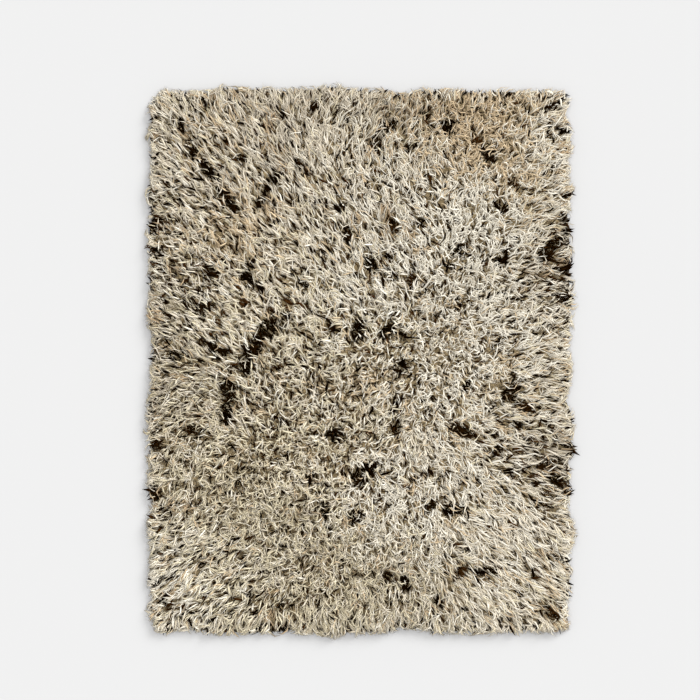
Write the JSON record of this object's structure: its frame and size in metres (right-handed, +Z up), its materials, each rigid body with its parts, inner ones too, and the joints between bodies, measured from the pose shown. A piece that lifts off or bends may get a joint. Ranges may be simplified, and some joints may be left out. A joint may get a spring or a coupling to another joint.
{
  "type": "shag rug",
  "caption": "Rectangular wool shag rug lying flat, with a deep shaggy cream pile flecked with dark brown and an uneven, softly waved edge.",
  "frame": {"origin": "on the floor, under the middle of the rug's box", "axes": "+Z up out of the pile, +Y along the rug's length, +X across its width"},
  "size_m": [1.4102, 1.7998, 0.048],
  "materials": {
    "pile_cream": "matte",
    "pile_ivory": "matte",
    "pile_oatmeal": "matte",
    "pile_stone": "matte",
    "pile_tan": "matte",
    "pile_dark": "matte",
    "ground_weave": "matte"
  },
  "bodies": {
    "root": {"rug": "pile_cream"}
  },
  "joints": []
}
